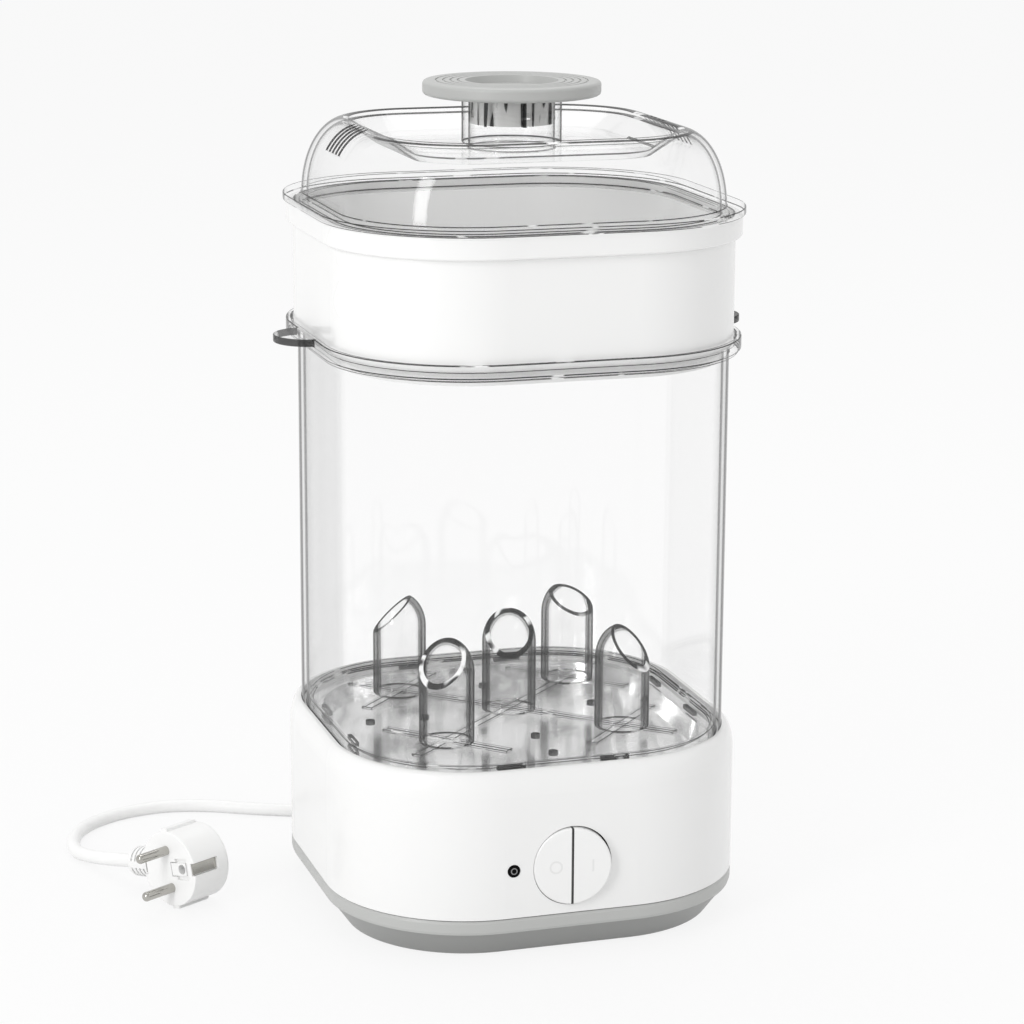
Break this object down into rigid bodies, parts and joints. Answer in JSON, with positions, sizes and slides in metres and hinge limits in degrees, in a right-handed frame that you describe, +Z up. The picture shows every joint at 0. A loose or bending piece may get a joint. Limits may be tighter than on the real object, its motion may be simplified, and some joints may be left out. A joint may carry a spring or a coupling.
{
  "type": "baby bottle sterilizer",
  "caption": "Electric steam sterilizer: heated base with a rocker switch, lift-out bottle rack, clear chamber, basket, domed lid with disc handle, and a mains cord with a plug.",
  "frame": {"origin": "on the table, under the middle of the object's footprint", "axes": "+Z up; -Y is the front with the switch; +X to the right of someone who faces the switch"},
  "size_m": [0.3262, 0.3908, 0.4083],
  "materials": {
    "white_plastic": "white moulded polypropylene with a soft gloss",
    "grey_plastic": "mid grey moulded plastic, satin",
    "clear_plastic": "clear polycarbonate, polished",
    "black_rubber": "matte black rubber",
    "silicone": "pale translucent silicone",
    "stainless_steel": "fine brushed stainless steel",
    "plated_steel": "zinc plated steel",
    "cast_aluminium": "as-cast aluminium",
    "brass": "stamped brass",
    "black_plastic": "black moulded nylon",
    "lamp_lens": "smoked lens, polished",
    "nylon": "natural nylon",
    "cord_jacket": "white flexible PVC jacket",
    "plug_plastic": "white moulded PVC, soft gloss",
    "nickel": "nickel plated brass, polished"
  },
  "bodies": {
    "base": {"bottom_pan": "grey_plastic", "rubber_feet": "black_rubber", "pan_screws": "plated_steel", "base_housing": "white_plastic", "heating_plate": "stainless_steel", "plate_seal": "silicone", "heater_plate": "cast_aluminium", "heating_element": "stainless_steel", "clamp_straps": "plated_steel", "heater_nuts": "plated_steel", "thermostat": "cast_aluminium", "thermal_fuse": "cast_aluminium", "fuse_clip": "plated_steel", "switch_body": "black_plastic", "switch_terminals": "brass", "rocker_pivot_pin": "plated_steel", "lamp_lens": "lamp_lens", "lamp_holder": "black_plastic", "cord_bush": "white_plastic", "cord_boot": "cord_jacket", "cord_clamp": "nylon", "clamp_screws": "plated_steel", "terminal_block": "nylon", "cord_lead": "cord_jacket", "cord_tail": "cord_jacket", "cord_coil": "cord_jacket", "plug_body": "plug_plastic", "plug_pins": "nickel", "plug_earth_clips": "nickel", "plug_boot": "plug_plastic"},
    "rocker": {"rocker_button": "white_plastic"},
    "rack": {"bottle_rack": "clear_plastic"},
    "chamber": {"chamber": "clear_plastic"},
    "basket": {"accessory_basket": "white_plastic"},
    "lid": {"lid": "clear_plastic", "handle_disc": "grey_plastic"}
  },
  "joints": [
    {"name": "switch_rock", "type": "hinge", "parent": "base", "child": "rocker", "pos_m": [0, -0.0995, 0.0458], "axis": [0, 0, 1], "range_deg": [0, 12]},
    {"name": "rack_lift", "type": "slide", "parent": "base", "child": "rack", "axis": [0, 0, 1], "range_m": [0, 0.12]},
    {"name": "chamber_lift", "type": "slide", "parent": "base", "child": "chamber", "axis": [0, 0, 1], "range_m": [0, 0.12]},
    {"name": "basket_lift", "type": "slide", "parent": "chamber", "child": "basket", "axis": [0, 0, 1], "range_m": [0, 0.08]},
    {"name": "lid_lift", "type": "slide", "parent": "basket", "child": "lid", "axis": [0, 0, 1], "range_m": [0, 0.06]}
  ]
}
